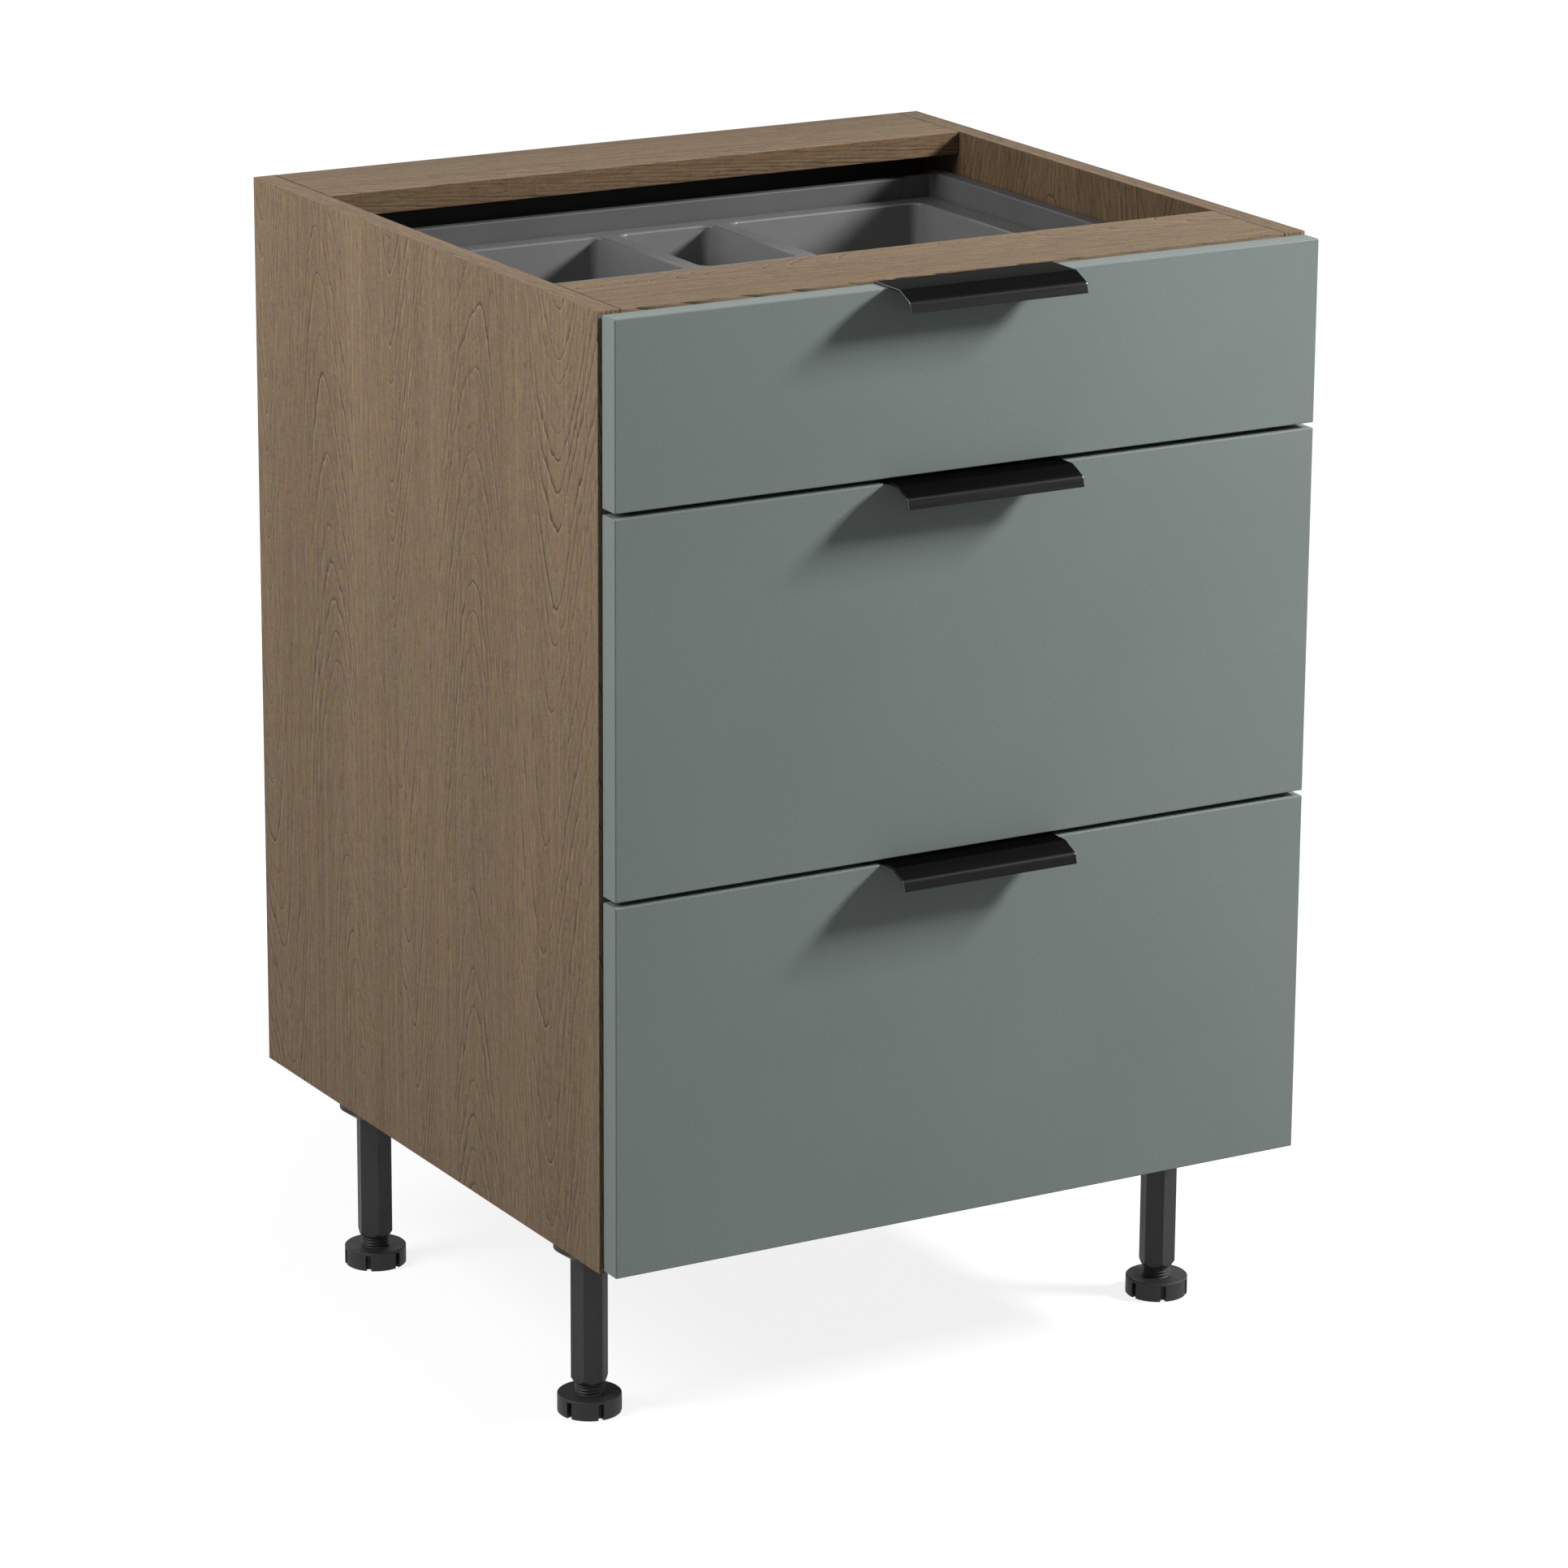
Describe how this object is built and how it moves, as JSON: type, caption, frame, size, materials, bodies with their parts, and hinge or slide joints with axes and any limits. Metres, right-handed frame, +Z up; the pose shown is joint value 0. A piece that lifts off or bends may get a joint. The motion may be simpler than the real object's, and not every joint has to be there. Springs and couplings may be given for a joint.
{
  "type": "drawer base cabinet",
  "caption": "Kitchen base cabinet with a shallow cutlery drawer over deep drawers, edge-pull handles and screw-adjusted legs, open at the top for a worktop.",
  "frame": {"origin": "on the floor, under the middle of the box around the whole cabinet", "axes": "+X to the right seen from the front, +Y to the back, +Z up; the drawers open along -Y"},
  "size_m": [0.6, 0.613, 0.87],
  "materials": {
    "carcass_board": "oak-decor faced chipboard",
    "back_board": "dark lacquered hardboard",
    "beech_dowel": "raw fluted beech",
    "zinc_steel": "zinc plated",
    "runner_steel": "zinc plated",
    "clear_bumper": "soft translucent",
    "leg_plastic": "moulded, fine texture",
    "front_paint": "matt sage-green lacquer on fibreboard",
    "handle_black": "matt black",
    "drawer_steel": "grey powder coat",
    "drawer_base_board": "grey faced chipboard",
    "tray_plastic": "moulded, satin grey"
  },
  "bodies": {
    "carcass": {"left_side_panel": "carcass_board", "right_side_panel": "carcass_board", "carcass_bottom": "carcass_board", "front_top_rail": "carcass_board", "rear_top_rail": "carcass_board", "back_panel": "back_board", "carcass_dowels": "beech_dowel", "cam_bolts": "zinc_steel", "cam_locks": "zinc_steel", "stop_bumpers": "clear_bumper", "runner_screws": "zinc_steel", "leg_screws": "zinc_steel", "front_left_leg_socket": "leg_plastic", "front_left_leg_shaft": "leg_plastic", "front_right_leg_socket": "leg_plastic", "front_right_leg_shaft": "leg_plastic", "back_left_leg_socket": "leg_plastic", "back_left_leg_shaft": "leg_plastic", "back_right_leg_socket": "leg_plastic", "back_right_leg_shaft": "leg_plastic", "top_runner_cabinet_rails": "runner_steel", "middle_runner_cabinet_rails": "runner_steel", "bottom_runner_cabinet_rails": "runner_steel"},
    "top_drawer": {"top_drawer_front": "front_paint", "top_drawer_handle": "handle_black", "top_drawer_handle_screws": "zinc_steel", "top_drawer_left_side": "drawer_steel", "top_drawer_right_side": "drawer_steel", "top_drawer_back": "drawer_steel", "top_drawer_base": "drawer_base_board", "top_drawer_brackets": "zinc_steel", "top_runner_drawer_rails": "runner_steel", "cutlery_tray": "tray_plastic"},
    "top_runner_middle": {"top_runner_middle_rails": "runner_steel"},
    "middle_drawer": {"middle_drawer_front": "front_paint", "middle_drawer_handle": "handle_black", "middle_drawer_handle_screws": "zinc_steel", "middle_drawer_left_side": "drawer_steel", "middle_drawer_right_side": "drawer_steel", "middle_drawer_back": "drawer_steel", "middle_drawer_base": "drawer_base_board", "middle_drawer_brackets": "zinc_steel", "middle_runner_drawer_rails": "runner_steel"},
    "middle_runner_middle": {"middle_runner_middle_rails": "runner_steel"},
    "bottom_drawer": {"bottom_drawer_front": "front_paint", "bottom_drawer_handle": "handle_black", "bottom_drawer_handle_screws": "zinc_steel", "bottom_drawer_left_side": "drawer_steel", "bottom_drawer_right_side": "drawer_steel", "bottom_drawer_back": "drawer_steel", "bottom_drawer_base": "drawer_base_board", "bottom_drawer_brackets": "zinc_steel", "bottom_runner_drawer_rails": "runner_steel"},
    "bottom_runner_middle": {"bottom_runner_middle_rails": "runner_steel"},
    "front_left_foot": {"front_left_foot": "leg_plastic"},
    "front_right_foot": {"front_right_foot": "leg_plastic"},
    "back_left_foot": {"back_left_foot": "leg_plastic"},
    "back_right_foot": {"back_right_foot": "leg_plastic"}
  },
  "joints": [
    {"name": "top_drawer_slide", "type": "slide", "parent": "carcass", "child": "top_drawer", "axis": [0, -1, 0], "range_m": [0, 0.46]},
    {"name": "top_runner_middle_slide", "type": "slide", "parent": "carcass", "child": "top_runner_middle", "axis": [0, -1, 0], "range_m": [0, 0.23]},
    {"name": "middle_drawer_slide", "type": "slide", "parent": "carcass", "child": "middle_drawer", "axis": [0, -1, 0], "range_m": [0, 0.46]},
    {"name": "middle_runner_middle_slide", "type": "slide", "parent": "carcass", "child": "middle_runner_middle", "axis": [0, -1, 0], "range_m": [0, 0.23]},
    {"name": "bottom_drawer_slide", "type": "slide", "parent": "carcass", "child": "bottom_drawer", "axis": [0, -1, 0], "range_m": [0, 0.46]},
    {"name": "bottom_runner_middle_slide", "type": "slide", "parent": "carcass", "child": "bottom_runner_middle", "axis": [0, -1, 0], "range_m": [0, 0.23]},
    {"name": "front_left_foot_screw", "type": "slide", "parent": "carcass", "child": "front_left_foot", "axis": [0, 0, -1], "range_m": [-0.008, 0.02]},
    {"name": "front_right_foot_screw", "type": "slide", "parent": "carcass", "child": "front_right_foot", "axis": [0, 0, -1], "range_m": [-0.008, 0.02]},
    {"name": "back_left_foot_screw", "type": "slide", "parent": "carcass", "child": "back_left_foot", "axis": [0, 0, -1], "range_m": [-0.008, 0.02]},
    {"name": "back_right_foot_screw", "type": "slide", "parent": "carcass", "child": "back_right_foot", "axis": [0, 0, -1], "range_m": [-0.008, 0.02]}
  ],
  "couplings": [
    {"joint": "top_runner_middle_slide", "follows": "top_drawer_slide", "ratio": 0.5},
    {"joint": "middle_runner_middle_slide", "follows": "middle_drawer_slide", "ratio": 0.5},
    {"joint": "bottom_runner_middle_slide", "follows": "bottom_drawer_slide", "ratio": 0.5}
  ]
}
